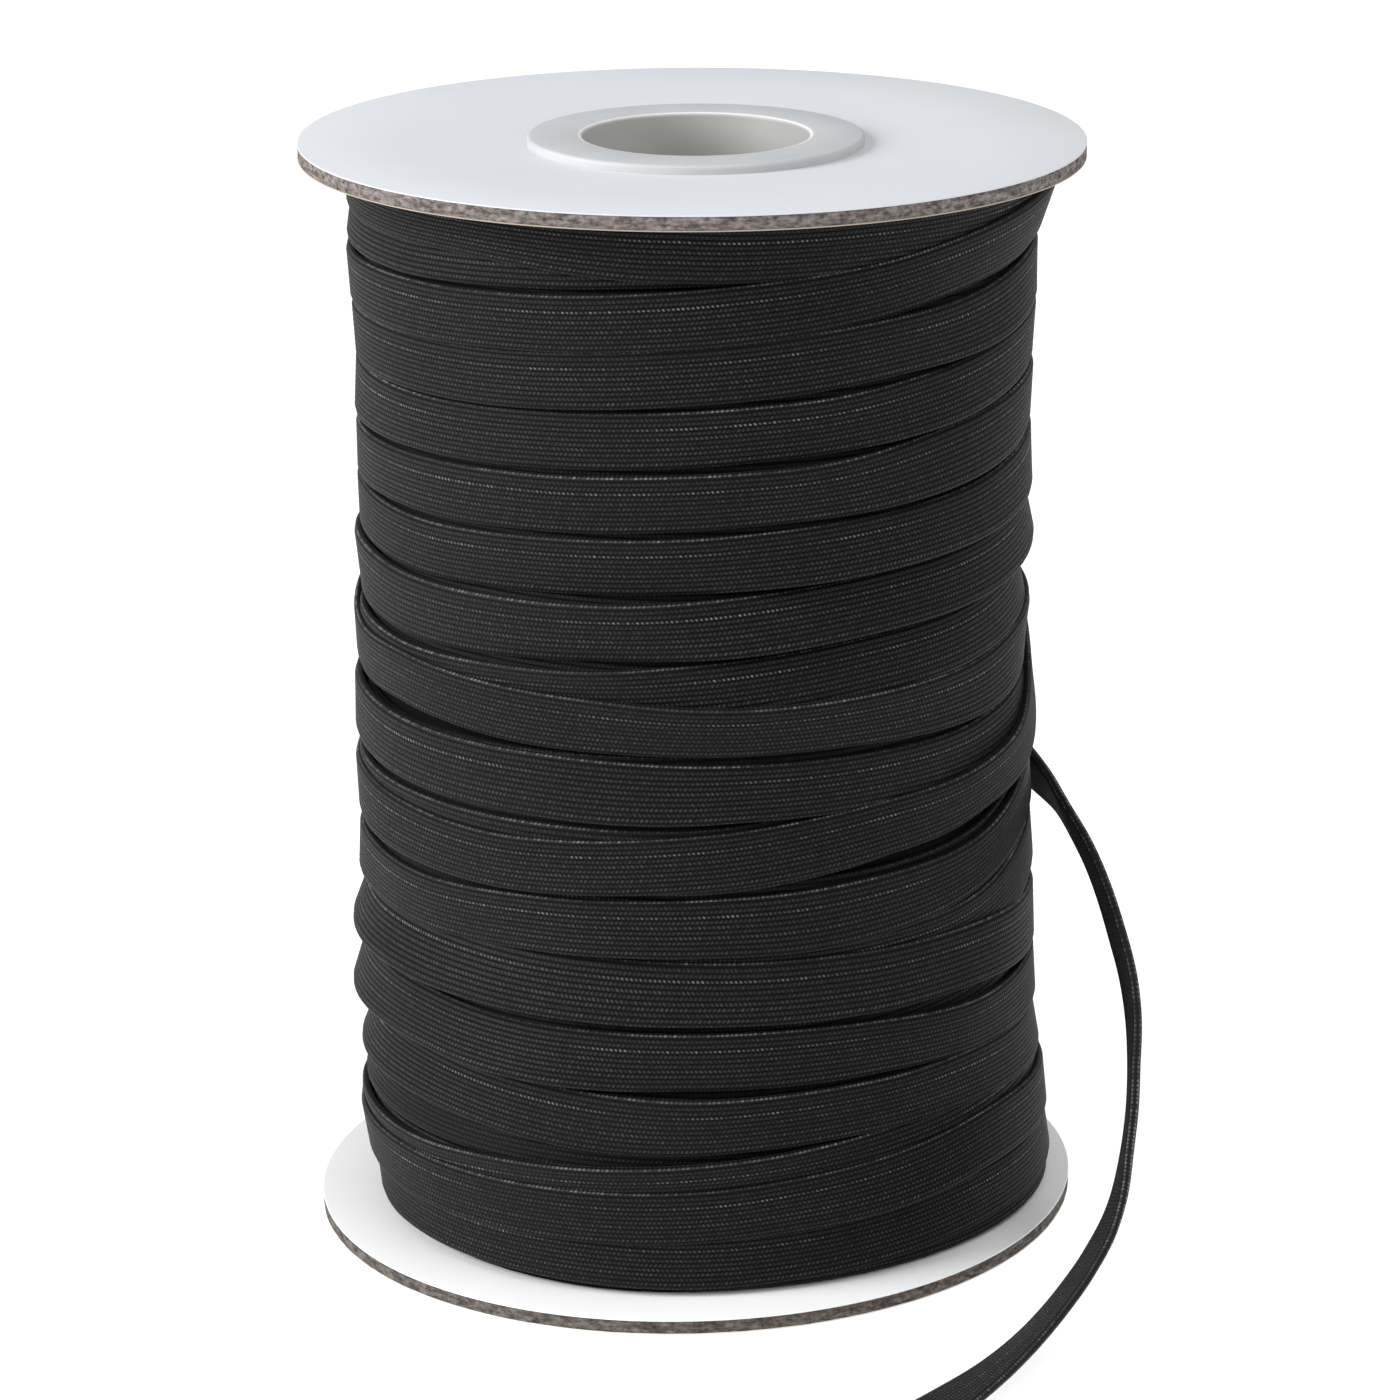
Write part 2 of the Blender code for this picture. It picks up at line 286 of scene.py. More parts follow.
def braided_black():
    """Black braid: each rib is a row of slanting stitches, and some rows carry painted highlights."""
    material, shader, start = finish(
        "black_elastic", specular_ior_level=0.12, sheen_weight=0.03, sheen_roughness=0.40
    )

    def read(name):
        return start.node("ShaderNodeAttribute", {"attribute_name": name}, output="Fac")

    along = read("along")
    outside = read("outside").ramp(0.4, 0.6)
    rib_place = (read("across") - FIRST_RIB) / RIB_PITCH
    rib = (rib_place + 0.5).floor()
    off_rib = (rib_place - rib) * RIB_PITCH
    side = (rib * 0.5).fract() * 4 - 1
    stitch_place = along / STITCH_LENGTH + rib * 0.5 + off_rib * side * STITCH_SLANT
    stitch = stitch_place.floor()
    off_stitch = (stitch_place.fract() - 0.5) * STITCH_LENGTH
    cell = start.node("ShaderNodeCombineXYZ", None, {"X": stitch, "Y": rib})
    chance = start.node(
        "ShaderNodeTexWhiteNoise", {"noise_dimensions": "2D"}, {"Vector": cell}, "Value"
    )
    drift_place = start.node(
        "ShaderNodeCombineXYZ", None, {"X": along / DRIFT_LENGTH, "Y": rib * DRIFT_APART}
    )
    drift = drift_place.noise(1.0, 2.0, dimensions="2D")
    tall = (off_rib + by_rib(start, rib, "up")) / by_rib(start, rib, "height")
    reach = tall ** 2 + (off_stitch / by_rib(start, rib, "length")) ** 2
    shape = 1 - reach.ramp(0.25, 1.15)
    # Each stitch's painted highlight, by row and face, varied at random and along the band
    shown = by_rib(start, rib, "inside") + (
        by_rib(start, rib, "outside") - by_rib(start, rib, "inside")) * outside
    # Painted shade on stitches under other turns, and painted light on the loose end
    covered = read("covered")
    painted_shade_and_light = 1 - covered * 0.65
    painted_light_on_loose_end = (covered * -1).ramp(0, 1)
    bright = shown * (0.4 + chance * 0.6) * (0.35 + drift.ramp(0.3, 0.65) * 0.65)
    fuzz = start.place().noise(FUZZ_SCALE, 3.0)
    # Grooves painted darker as painted shade, rib crests lighter as a painted highlight
    valley = (off_rib.size() / (RIB_PITCH / 2)).ramp(0.55, 1.0)
    crest_highlight = 1 - (off_rib.size() / (RIB_PITCH / 2)).ramp(0.05, 0.6)
    ground = ((1 - valley * 0.6) * (0.2 + fuzz * 0.8)).blend(YARN_DARK_AND_SHADED, YARN_BLACK)
    # Stitches painted lighter, partly as the yarn loops, partly as painted highlights
    stitches = shape * (0.07 * (0.5 + chance) + bright * bright)
    stitches_and_painted_light = (crest_highlight * 0.02 + painted_light_on_loose_end * 0.025 + stitches) * painted_shade_and_light
    feed(
        shader,
        base_color=stitches_and_painted_light.blend(ground, STITCH_AND_HIGHLIGHT_GREY),
        roughness=0.58 + valley * 0.3 - shape * bright * 0.12,
    )
    relief = (1 - valley) * 0.06 + shape * 0.05 + fuzz * 0.02
    feed(shader, normal=relief.bump(0.9))
    return material


black_elastic = braided_black()


def fullness(depth):
    """Share of the half thickness at a depth in from either edge, where the selvage is round."""
    inside = np.minimum(depth, BAND_WIDTH - depth)
    short = np.clip(1 - inside / SELVAGE_RADIUS, 0, 1)
    return np.sqrt(1 - short * short)


def mark_points(mesh, kind, marks):
    """Writes named values on the points of a mesh, one for each point."""
    field = "vector" if kind == "FLOAT_VECTOR" else "value"
    for name, values in marks.items():
        attribute = mesh.attributes.new(name, kind, "POINT")
        attribute.data.foreach_set(field, values.astype(np.float32).ravel())


def band_section(name, ribbed_inside):
    """The band's closed outline: outer face from the upper edge down, then the inner face up."""
    crests_and_valleys = np.arange(0, 2 * RIB_COUNT - 1) / 2
    ribs = FIRST_RIB + RIB_PITCH * crests_and_valleys
    edge = np.array(SELVAGE_STEPS)
    down = np.concatenate((edge, ribs, BAND_WIDTH - edge[::-1]))
    plain = np.array(PLAIN_STEPS + (BAND_WIDTH / 2,))
    up = down[::-1] if ribbed_inside else np.concatenate((BAND_WIDTH - plain, plain[-2::-1]))

    def face(depth, ribbed):
        valley = 1 - np.abs(np.cos(math.pi * (depth - FIRST_RIB) / RIB_PITCH))
        return fullness(depth) * (BAND_THICKNESS / 2 - RIB_DEPTH * valley * ribbed)

    depths = np.concatenate(((0,), down, (BAND_WIDTH,), up))
    outs = np.concatenate(((0,), face(down, 1), (0,), -face(up, ribbed_inside)))
    count = len(depths)
    points = [(x * MM, (BAND_WIDTH / 2 - v) * MM, 0.0) for x, v in zip(outs, depths)]
    mesh = bpy.data.meshes.new(name)
    mesh.from_pydata(points, [(i, (i + 1) % count) for i in range(count)], [])
    mark_points(mesh, "FLOAT", {"across": depths, "outside": outs >= 0})
    return bpy.data.objects.new(name, mesh)


def band_tree():
    """Geometry Nodes: sweeps a section along a path, whose points know which way the face looks."""
    tree = bpy.data.node_groups.new("band", "GeometryNodeTree")
    for name, kind in (("Path", "Geometry"), ("Section", "Object"), ("Elastic", "Material"),
                       ("Wander", "Float"), ("Wander Length", "Float"), ("Seed", "Float")):
        tree.interface.new_socket(name, in_out="INPUT", socket_type="NodeSocket" + kind)
    tree.interface.new_socket("Band", in_out="OUTPUT", socket_type="NodeSocketGeometry")
    start = Yarn(tree)

    def given(name):
        return start.node("NodeGroupInput", output=name)

    def mark(name, kind):
        return start.node(
            "GeometryNodeInputNamedAttribute", {"data_type": kind}, {"Name": name}, "Attribute"
        )

    place = start.node("ShaderNodeCombineXYZ", None, {
        "X": mark("along", "FLOAT") / given("Wander Length"), "Y": given("Seed")})
    noise = place.noise(1.0, 1.0, dimensions="2D")
    offset = start.node(
        "ShaderNodeVectorMath", {"operation": "SCALE"},
        {"Vector": mark("rise", "FLOAT_VECTOR"), "Scale": (noise - 0.5) * given("Wander")}
    )
    moved = start.node("GeometryNodeSetPosition", None, {"Geometry": given("Path"), "Offset": offset})
    path = start.node("GeometryNodeMeshToCurve", None, {"Mesh": moved})
    facing = start.node(
        "GeometryNodeSetCurveNormal", {"mode": "FREE"},
        {"Curve": path, "Normal": mark("face", "FLOAT_VECTOR")}
    )
    section = start.node("GeometryNodeObjectInfo", None, {"Object": given("Section")}, "Geometry")
    outline = start.node("GeometryNodeMeshToCurve", None, {"Mesh": section})
    swept = start.node(
        "GeometryNodeCurveToMesh", None,
        {"Curve": facing, "Profile Curve": outline, "Scale": mark("width", "FLOAT"), "Fill Caps": True}
    )
    smooth = start.node("GeometryNodeSetShadeSmooth", None, {"Geometry": swept, "Shade Smooth": True})
    real = start.node("GeometryNodeRealizeInstances", None, {"Geometry": smooth})
    dressed = start.node(
        "GeometryNodeSetMaterial", None, {"Geometry": real, "Material": given("Elastic")}
    )
    start.node("NodeGroupOutput", None, {"Band": dressed})
    return tree


band_sweep = band_tree()
WANDER_LENGTH = 14.0


def made_plain(shown, name):
    """The evaluated object as a plain mesh object, with no modifiers."""
    depsgraph = bpy.context.evaluated_depsgraph_get()
    mesh = bpy.data.meshes.new_from_object(shown.evaluated_get(depsgraph))
    mesh.name = name
    bpy.data.objects.remove(shown, do_unlink=True)
    result = bpy.data.objects.new(name, mesh)
    scene.collection.objects.link(result)
    return result


def band(name, middles, faces, rises, marks, section, wander, seed):
    """A stretch of elastic along a row of points, in millimetres.

    The marks are the run along the band, its width as a share of the usual, and 1 where it's
    covered or down to -1 on the loose end: the material paints the covered stretches darker as
    painted shade, and the loose end lighter as painted light.
    """
    path = bpy.data.meshes.new(name + "_path")
    count = len(middles)
    path.from_pydata((middles * MM).tolist(), [(i, i + 1) for i in range(count - 1)], [])
    mark_points(path, "FLOAT_VECTOR", {"face": faces, "rise": rises})
    mark_points(path, "FLOAT", dict(zip(("along", "width", "covered"), marks)))
    shown = bpy.data.objects.new(name + "_path", path)
    scene.collection.objects.link(shown)
    sweep = shown.modifiers.new("band", "NODES")
    sweep.node_group = band_sweep
    values = {"Section": section, "Elastic": black_elastic, "Wander": wander * MM,
              "Wander Length": WANDER_LENGTH, "Seed": float(seed)}
    for item in band_sweep.interface.items_tree:
        if item.in_out == "INPUT" and item.name in values:
            sweep[item.identifier] = values[item.name]
    return made_plain(shown, name)


def through(knots, values, at):
    """A smooth curve through the values at the knots, read at each place."""
    slopes = np.gradient(values, knots)
    k = np.clip(np.searchsorted(knots, at, side="right") - 1, 0, len(knots) - 2)
    step = knots[k + 1] - knots[k]
    t = np.clip((at - knots[k]) / step, 0, 1)
    start = values[k] * (1 + 2 * t) + slopes[k] * step * t
    end = values[k + 1] * (3 - 2 * t) + slopes[k + 1] * step * (t - 1)
    return start * (1 - t) ** 2 + end * t * t


def unit(rows):
    return rows / np.linalg.norm(rows, axis=1, keepdims=True)


def loose_end_band():
    """The loose end, the points along its middle and its length, in metres."""
    points = np.array(LOOSE_END_ROUTE, dtype=float)
    runs = np.linalg.norm(np.diff(points[:, :3], axis=0), axis=1)
    knots = np.concatenate(([0.0], np.cumsum(runs)))
    at = np.linspace(0.0, knots[-1], LOOSE_END_STATIONS)
    columns = [through(knots, column, at) for column in points.T]
    middles = np.stack(columns[:3], axis=1)
    bearing, lift = np.radians(columns[3]), np.radians(columns[4])
    level = np.cos(lift)
    faces = np.stack((level * np.cos(bearing), level * np.sin(bearing), np.sin(lift)), axis=1)
    travel = unit(np.gradient(middles, axis=0))
    rises = unit(np.cross(travel, faces))
    faces = unit(np.cross(rises, travel))
    # The last mark falls to -1 on the loose end, which gets painted light
    marks = (at, np.ones(len(at)), -np.clip(at / LOOSE_END_LIGHT_RUN, 0, 1))
    piece = band("loose_end", middles, faces, rises, marks, ribbed_section, 0.0, 1)
    return piece, middles * MM, knots[-1] * MM


ribbed_section = band_section("section_ribbed_both_sides", True)
loose_end, loose_end_path, loose_end_length = loose_end_band()
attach(loose_end, "root")
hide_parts("tail")


# ----------------------------------------------------------------------
# Core tube: a spirally wound tube of brown paper board. It joins the two boards and carries the
# turns, and only its inside shows, down the bore.
# ----------------------------------------------------------------------
SEAM_PITCH = 25.0


def paper_tube():
    """Brown paper, with the dark seam of its strip going round it as a screw."""
    material, shader, start = finish("paper_tube", specular_ior_level=0.25)
    place = start.place()
    turn = start.maths("ARCTAN2", place.part("Y"), place.part("X")) / (2 * math.pi)
    climb = place.part("Z") / (SEAM_PITCH * MM)
    seam = ((climb + turn).fract() - 0.5).size().ramp(0.49, 0.497)
    fibre = place.noise(1500.0, 4.0)
    base = fibre.blend((0.20, 0.135, 0.08, 1), (0.34, 0.25, 0.16, 1))
    feed(shader, base_color=seam.blend(base, (0.08, 0.05, 0.03, 1)), roughness=0.8 + fibre * 0.15)
    feed(shader, normal=(fibre * 0.08 - seam * 0.15).bump())
    return material


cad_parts["core_tube"].data.materials.clear()
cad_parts["core_tube"].data.materials.append(paper_tube())


# ----------------------------------------------------------------------
# Lower hub: a flanged bush moulded in pale grey plastic. Its lip is under the lower board, and
# its sleeve is pushed up into the tube.
# ----------------------------------------------------------------------
HUB_STEPS = 192
HUB_ROUND = 0.35
LIP_THICKNESS = 1.2
SLEEVE_WALL = 1.2
SLEEVE_LENGTH = 14.0
BORE_RADIUS = 10.8
# How far out from the bore its grey ends and its rim's painted highlight lies, and how wide that
# highlight is
BORE_EDGE = 0.2
BORE_EDGE_WIDTH = 0.28
# Across the bore, in millimetres, where its painted shade starts on the left and where it is full on
# the right
BORE_SHADE_FROM = -6.0
BORE_SHADE_TO = 9.0
SHARP_ANGLE = math.radians(35)


def ring(name, columns, material):
    """A closed ring from its columns in turn, each a loop of the same count of points."""
    count = len(columns[0])
    faces = []
    for index in range(len(columns)):
        here, there = index * count, (index + 1) % len(columns) * count
        for row in range(count):
            below = (row + 1) % count
            faces.append((here + row, here + below, there + below, there + row))
    mesh = bpy.data.meshes.new(name)
    mesh.from_pydata([point for column in columns for point in column], [], faces)
    mesh.materials.append(material)
    mesh.shade_smooth()
    piece = bpy.data.objects.new(name, mesh)
    scene.collection.objects.link(piece)
    return piece


def turned(name, profile, steps, material, wobble=None, bend=None, aside=0.0):
    """A closed ring turned from (radius, height) points in millimetres, outer side downwards.

    The bend says how far each place on it is raised, and aside how far it stands to the right.
    """
    profile = np.array(profile, dtype=float)
    columns = []
    for step, angle in enumerate(np.arange(steps) * 2 * math.pi / steps):
        radii = profile[:, 0] + (wobble[step] if wobble is not None else 0.0)
        column = []
        for radius, height in zip(radii, profile[:, 1]):
            x, y = radius * math.cos(angle), radius * math.sin(angle)
            raised = height + (bend(x, y) if bend else 0.0)
            column.append(((x + aside) * MM, y * MM, raised * MM))
        columns.append(column)
    piece = ring(name, columns, material)
    piece.data.set_sharp_from_angle(angle=SHARP_ANGLE)
    return piece


def corner(radius, height, out, up, size, steps=5):
    """A rounded corner whose sharp point would be at (radius, height), as points going round it.

    It starts on the side that faces up or down, and ends on the side that faces in or out.
    """
    turn = np.linspace(0, math.pi / 2, steps)
    return [(radius - out * size * (1 - math.sin(t)), height - up * size * (1 - math.cos(t)))
            for t in turn]


def hub_plastic(name, aside):
    """Pale on the lip, and greyer in the bore as painted shade; the bore's middle may be a little
    aside.
    """
    material, shader, start = finish(name, specular_ior_level=0.4)
    place = start.place()
    cloud = place.noise(120.0, 3.0)
    grain = place.noise(2500.0, 2.0)
    x = place.part("X") - aside * MM
    y = place.part("Y")
    from_axis = (x * x + y * y) ** 0.5
    # The bore is painted greyer than the lip, as painted shade
    in_bore = 1 - from_axis.ramp((BORE_RADIUS + 0.02) * MM, (BORE_RADIUS + BORE_EDGE) * MM)
    # A thin ring round the rim of the bore is painted lighter, as a painted highlight
    off_edge = (from_axis - (BORE_RADIUS + BORE_EDGE) * MM).size() / (BORE_EDGE_WIDTH * MM)
    bore_rim_highlight = 1 - off_edge.ramp(0.5, 1.0)
    # The bore is painted darker towards the right, as painted shade, with a little random cloud
    painted_shade_rightwards = x.ramp(BORE_SHADE_FROM * MM, BORE_SHADE_TO * MM) * 0.8 + cloud * 0.2
    bore_painted_shade = painted_shade_rightwards.blend((0.42, 0.42, 0.41, 1), (0.28, 0.28, 0.275, 1))
    face = cloud.ramp(0.3, 0.7).blend((0.47, 0.475, 0.485, 1), (0.50, 0.505, 0.515, 1))
    lip = (bore_rim_highlight * 0.7).blend(face, (0.80, 0.80, 0.80, 1))
    feed(shader, base_color=(in_bore * 0.85).blend(lip, bore_painted_shade), roughness=0.42 + grain * 0.2)
    feed(shader, normal=(grain * 0.012 + cloud * 0.03).bump())
    return material


def hub(name, node, upside, lip=LIP_THICKNESS, pressed_in=0.0, aside=0.0):
    """A bush whose upside is 1 on top, and -1 below, where the same part is turned over."""
    low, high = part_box(node)
    lip_radius = high.x / MM
    outer_face = (high.z if upside > 0 else low.z) / MM - upside * pressed_in
    inner = outer_face - upside * lip
    tip = outer_face - upside * (lip + SLEEVE_LENGTH)
    sleeve = BORE_RADIUS + SLEEVE_WALL
    outline = corner(lip_radius, outer_face, 1, upside, HUB_ROUND)
    outline += [(lip_radius, inner), (sleeve, inner), (sleeve, tip), (BORE_RADIUS, tip)]
    outline += corner(BORE_RADIUS, outer_face, -1, upside, HUB_ROUND)[::-1]
    if upside < 0:
        outline = outline[::-1]
    piece = turned(name, outline, HUB_STEPS, hub_plastic(name + "_plastic", aside), aside=aside)
    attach(piece, "root")
    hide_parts(node)


hub("lower_hub", "bottom_hub", -1)


# ----------------------------------------------------------------------
# Lower board: a disc die-cut from greyboard with a paper lining on each face, white above, so its
# cut rim shows grey fibre between two pale lines. It is bent: its rim stands up, most at the right.
# ----------------------------------------------------------------------
BOARD_STEPS = 256
ROUND_STEPS = 4
LINING = 0.14
GLUE_LINE = 0.01
UPPER_ROUND = 0.06
LOWER_ROUND = 0.05
CORE_SET_BACK = 0.06
LOWER_SET_BACK = 0.02
HOLE_CLEARANCE = 0.45
CUT_EDGE_ROUGHNESS = 0.02
CUT_PLY_ROUGHNESS = 0.015
STREAK_FLATNESS = 2.5
FLAT_TO = 17.0
BENT_FROM = 28.0
BEND_RADII = (FLAT_TO, 19.0, 21.0, 23.0, 26.0, BENT_FROM)
RIM_RAISED = 0.66
RISE_RIGHTWARDS = 0.025
RISE_BACKWARDS = 0.0133


def lower_bend(x, y):
    """The lower board is bent a little: its rim stands higher at the right and at the back."""
    share = min(max((math.hypot(x, y) - FLAT_TO) / (BENT_FROM - FLAT_TO), 0.0), 1.0)
    raised = RIM_RAISED + RISE_RIGHTWARDS * x + RISE_BACKWARDS * y
    return raised * share * share * (3 - 2 * share)


def board_face(name, pale, grey):
    """Smooth lining paper, a little cloudy."""
    material, shader, start = finish(name, specular_ior_level=0.35)
    place = start.place()
    cloud = place.noise(60.0, 4.0)
    grain = place.noise(3000.0, 3.0)
    feed(shader, base_color=cloud.ramp(0.25, 0.75).blend(grey, pale), roughness=0.5 + grain * 0.25)
    feed(shader, normal=(grain * 0.008 + cloud * 0.1).bump())
    return material


def cut_greyboard(name, dark, light):
    """Torn grey fibre, in streaks that run round the rim."""
    material, shader, start = finish(name, specular_ior_level=0.1)
    place = start.place()
    flattened = {"X": place.part("X"), "Y": place.part("Y"), "Z": place.part("Z") * STREAK_FLATNESS}
    streak = start.node("ShaderNodeCombineXYZ", None, flattened).noise(900.0, 5.0, roughness=0.7)
    speck = place.noise(2200.0, 3.0)
    tone = streak.ramp(0.36, 0.66) * 0.7 + speck.ramp(0.3, 0.75) * 0.3
    feed(shader, base_color=tone.blend(dark, light), roughness=0.9 - tone * 0.1)
    feed(shader, normal=(streak * 0.25 + speck * 0.1).bump())
    return material


def board(name, node, linings, greyboard, seed, bend):
    """A lined board as three discs, each with its hole: a lining, the ragged core, a lining."""
    low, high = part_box(node)
    radius = high.x / MM
    base, top = low.z / MM, high.z / MM
    hole = BORE_RADIUS + SLEEVE_WALL + HOLE_CLEARANCE
    chance = np.random.default_rng(seed)
    rough = chance.normal(0, CUT_EDGE_ROUGHNESS, BOARD_STEPS)

    def disc(part, lower, upper, rim, round_size, material, ragged):
        outline = corner(rim, upper, 1, 1, round_size, ROUND_STEPS)
        outline += corner(rim, lower, 1, -1, round_size, ROUND_STEPS)[::-1]
        at_rim = len(outline)
        across = (hole,) + BEND_RADII
        outline += [(r, lower) for r in across[::-1]] + [(r, upper) for r in across]
        wobble = None
        if ragged:
            plies = chance.normal(0, CUT_PLY_ROUGHNESS, (BOARD_STEPS, at_rim))
            wobble = np.zeros((BOARD_STEPS, len(outline)))
            wobble[:, :at_rim] = rough[:, None] + plies
        piece = turned(name + part, outline, BOARD_STEPS, material, wobble, bend)
        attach(piece, "root")
        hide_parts(node)

    core_low, core_high = base + LINING, top - LINING - GLUE_LINE
    lower_high = base + LINING - GLUE_LINE
    disc("_upper_lining", top - LINING, top, radius, UPPER_ROUND, linings[0], False)
    disc("_grey_core", core_low, core_high, radius - CORE_SET_BACK, LOWER_ROUND, greyboard, True)
    disc("_lower_lining", base, lower_high, radius - LOWER_SET_BACK, LOWER_ROUND, linings[1], False)


lower_white = board_face("lower_white_lining", (0.86, 0.86, 0.86, 1), (0.84, 0.84, 0.84, 1))
pale_lining = board_face("pale_lining", (0.75, 0.72, 0.68, 1), (0.68, 0.65, 0.61, 1))
# The lower board's cut rim is painted darker than the upper board's, as painted shade
lower_greyboard = cut_greyboard(
    "lower_cut_greyboard", (0.038, 0.032, 0.028, 1), (0.205, 0.182, 0.168, 1)
)
lower_linings = (lower_white, pale_lining)
board("lower_board", "bottom_board", lower_linings, lower_greyboard, seed=11, bend=lower_bend)


# ----------------------------------------------------------------------
# Wound elastic: one band, wound under light tension in layers that run down and up the tube.
# The outer strand is the last layer, which ends in the loose end; the under strand shows where
# the outer one has stopped; the deep strand is the layer below, which shows in the gaps.
# ----------------------------------------------------------------------
STATION = 2.0
COLUMNS = 180
ROW = 0.25
BOARD_SPACE = (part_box("top_board")[0].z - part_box("bottom_board")[1].z) / MM
ROLL_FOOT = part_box("bottom_board")[1].z / MM
ROWS = int(BOARD_SPACE / ROW) + 1
TYPICAL_RADIUS = 33.2
BOARD_CLEARANCE = 0.25
SINK = 1.1
SINK_RUN = 45.0
COVERED_RUN = 50.0
WANDER = 0.16

# Heights of a turn's upper edge above the lower board at seven bearings, and when it was laid:
# of two turns that cross, the one with the higher number lies on top.
BEARINGS = (80, 55, 30, 0, -30, -55, -80)
Turn = namedtuple("Turn", "far_right right near_right front near_left left far_left laid")
OUTER_TURNS = (
    Turn(104.5, 104.0, 104.0, 104.1, 105.3, 105.3, 105.5, 1),
    Turn(103.5, 101.6, 99.5, 98.0, 96.9, 96.4, 96.2, 2),
    Turn(96.2, 95.0, 94.1, 92.7, 91.5, 91.1, 90.8, 3),
    Turn(90.3, 89.0, 87.9, 86.9, 86.0, 85.6, 85.6, 4),
    Turn(84.4, 83.3, 82.0, 81.1, 80.3, 79.7, 79.3, 5),
    Turn(78.3, 76.7, 75.9, 75.0, 74.2, 73.7, 73.9, 6),
    Turn(71.8, 70.8, 70.1, 69.2, 68.5, 68.1, 68.3, 7),
    Turn(65.9, 64.8, 64.2, 63.0, 61.9, 61.2, 61.6, 8),
    Turn(61.0, 59.4, 59.4, 59.4, 59.7, 60.3, 60.8, 9),
    Turn(53.8, 49.6, 48.2, 46.5, 45.3, 45.2, 45.6, 10),
)
UNDER_TOP = Turn(104.1, 104.1, 104.1, 103.9, 103.0, 102.3, 102.3, 1)
UNDER_HIDDEN = 7
UNDER_TURNS = (
    Turn(54.6, 53.2, 53.2, 53.3, 53.7, 53.7, 54.0, 9),
    Turn(53.0, 50.0, 48.5, 47.0, 46.8, 46.7, 46.6, 1),
    Turn(45.4, 42.0, 41.0, 40.2, 39.4, 38.6, 38.7, 9),
    Turn(32.2, 33.3, 33.8, 34.1, 34.2, 34.3, 34.2, 5),
    Turn(25.5, 25.8, 26.7, 27.0, 26.9, 27.3, 27.2, 6),
    Turn(20.1, 20.7, 20.8, 20.7, 20.8, 21.1, 20.7, 7),
    Turn(16.7, 16.2, 15.4, 14.1, 12.9, 11.7, 11.4, 4),
    Turn(13.6, 14.2, 12.8, 11.1, 10.4, 10.0, 9.8, 8),
    Turn(8.6, 8.3, 7.3, 6.4, 6.2, 6.1, 6.0, 3),
)
DEEP_TOP = Turn(104.1, 104.1, 104.1, 104.0, 103.5, 103.0, 103.0, 1)
DEEP_HIDDEN = 10
DEEP_TURNS = (
    Turn(39.2, 36.3, 35.4, 35.2, 35.0, 34.9, 34.9, 20),
    Turn(31.5, 30.5, 29.8, 29.5, 29.4, 29.4, 29.3, 21),
)
DEEP_BOTTOM_HIDDEN = 3
DEEP_BOTTOM = Turn(6.5, 6.3, 6.1, 5.9, 5.9, 5.9, 5.9, 30)

# The roll's outer radius on either side and in front, by height above the lower board, and how
# many of the three strands lie there
Outside = namedtuple("Outside", "height left right front layers")
OUTSIDES = (
    Outside(0.4, 30.9, 35.3, 31.8, 2),
    Outside(3.0, 32.2, 35.5, 32.2, 2),
    Outside(8.2, 33.3, 35.2, 32.7, 2),
    Outside(12.0, 33.2, 34.9, 33.0, 2),
    Outside(14.6, 33.1, 34.2, 33.0, 2),
    Outside(17.0, 33.0, 33.9, 33.0, 2),
    Outside(20.0, 31.6, 33.8, 33.0, 2),
    Outside(25.0, 33.2, 33.6, 33.0, 2),
    Outside(29.0, 32.8, 33.5, 33.0, 2),
    Outside(32.0, 33.0, 33.3, 33.0, 2),
    Outside(35.0, 32.6, 33.2, 33.0, 2),
    Outside(43.0, 33.1, 33.0, 33.0, 2),
    Outside(47.5, 32.8, 32.4, 33.0, 2),
    Outside(52.0, 33.2, 32.8, 33.0, 2),
    Outside(57.0, 32.5, 32.6, 33.0, 3),
    Outside(61.5, 32.8, 31.3, 33.0, 3),
    Outside(67.0, 32.3, 32.0, 33.0, 3),
    Outside(74.0, 32.5, 32.5, 33.0, 3),
    Outside(80.0, 32.5, 32.6, 33.0, 3),
    Outside(88.0, 32.45, 32.7, 33.0, 3),
    Outside(92.0, 32.9, 33.1, 33.0, 3),
    Outside(96.0, 32.9, 32.6, 33.0, 3),
    Outside(99.0, 32.9, 33.8, 33.0, 3),
    Outside(104.0, 33.0, 34.3, 33.0, 3),
)
BACK_RADIUS = 33.4
PACKING_ROUNDS = 7
EVEN_HEIGHT = 1.8
EVEN_BEARING = 10.0
EVEN_ROWS = 36
EVEN_COLUMNS = 24

# Where across its width a turn can touch the ones below, and how far its soft edges give there
CONTACTS = 27
CONTACT_MARGIN = 0.1
SOFT_EDGE = 0.95
MOST_GIVE = 0.8
ACROSS = np.linspace(CONTACT_MARGIN, BAND_WIDTH - CONTACT_MARGIN, CONTACTS)
UPWARD = BAND_WIDTH / 2 - ACROSS
GIVE = MOST_GIVE * np.clip(1 - np.minimum(ACROSS, BAND_WIDTH - ACROSS) / SOFT_EDGE, 0, 1) ** 2
OUTER_FACE = BAND_THICKNESS / 2 * (1 + fullness(ACROSS))
STEEPEST_LEAN = 0.40
PRESSED = 0.55
FARTHEST_BRIDGED = 0.45
TAUT_ROUNDS = 300
WIDTH_EASE = 6
LEAN_EASE = 4
REST_EASE = 2
LAID_EASE = 3
WOUND_WIDTH = 5.45
MEETS_FROM = 5.2
MEETS_TO = 7.9
WIDTH_LIMITS = (0.3, 1.2)
FAR_BELOW = -99.0
TURN_GAP = 0.48
NARROWEST = 5.3
WIDEST = 6.4
TOP_EDGE = 104.15


